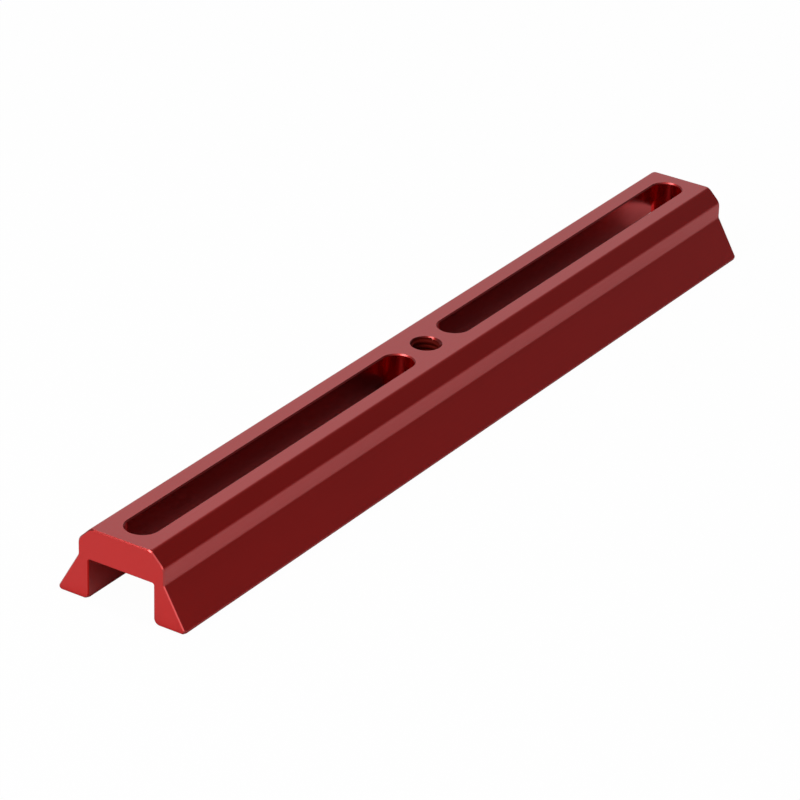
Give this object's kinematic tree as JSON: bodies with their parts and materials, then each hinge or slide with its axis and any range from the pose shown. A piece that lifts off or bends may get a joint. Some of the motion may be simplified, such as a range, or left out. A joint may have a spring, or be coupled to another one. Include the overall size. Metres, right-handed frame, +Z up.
{
  "type": "dovetail mounting plate",
  "caption": "Long extruded aluminium dovetail plate with an open channel beneath, a tapped hole at its middle and a long slot on either side of it.",
  "frame": {"origin": "centre of the base, in the plane of the two feet", "axes": "+X along the bar, +Z up from the feet to the flat top face"},
  "size_m": [0.3, 0.0438, 0.0227],
  "materials": {
    "red_anodised": "satin, red anodised"
  },
  "bodies": {
    "root": {"dovetail_plate": "red_anodised"}
  },
  "joints": []
}
